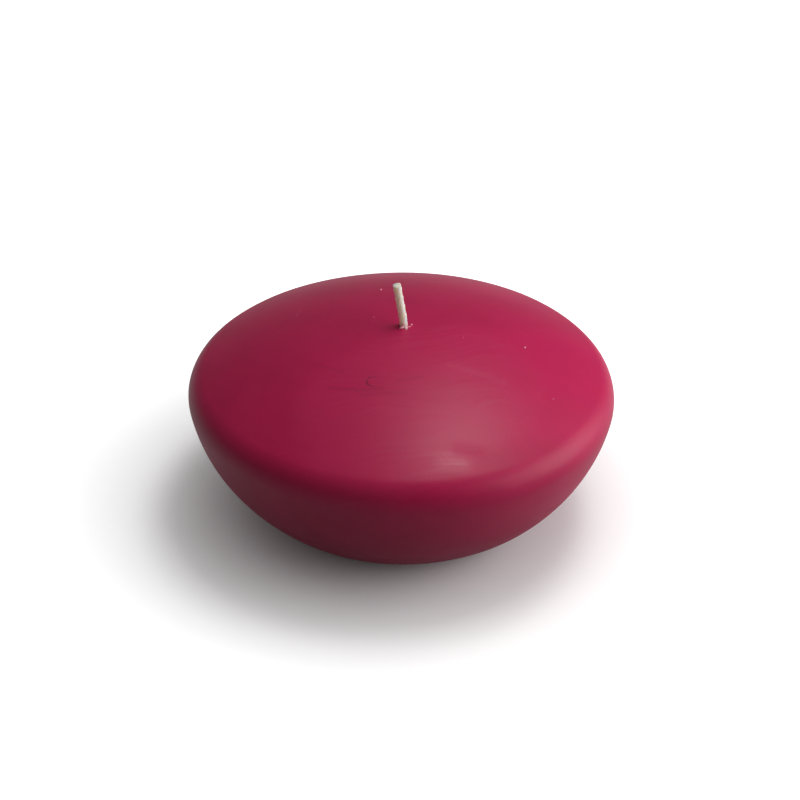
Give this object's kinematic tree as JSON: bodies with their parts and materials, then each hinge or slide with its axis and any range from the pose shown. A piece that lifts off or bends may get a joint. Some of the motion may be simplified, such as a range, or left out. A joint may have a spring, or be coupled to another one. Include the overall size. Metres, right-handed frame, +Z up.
{
  "type": "floating candle",
  "caption": "Low round floating candle: a bowl-shaped wax body with a gently domed top, a flat foot and a short leaning wick.",
  "frame": {"origin": "centre of the flat foot, on the surface that the candle stands on", "axes": "+Z up along the wick's bore; the wick's free end leans to -X; the picture looks along +Y"},
  "size_m": [0.0762, 0.0762, 0.0434],
  "materials": {
    "wax": "raspberry candle wax, satin, slightly see-through at the skin",
    "wick": "plaited cotton, coated with wax",
    "sustainer": "tinned sheet, stamped"
  },
  "bodies": {
    "root": {"wax_body": "wax", "wick": "wick", "wick_sustainer": "sustainer"}
  },
  "joints": []
}
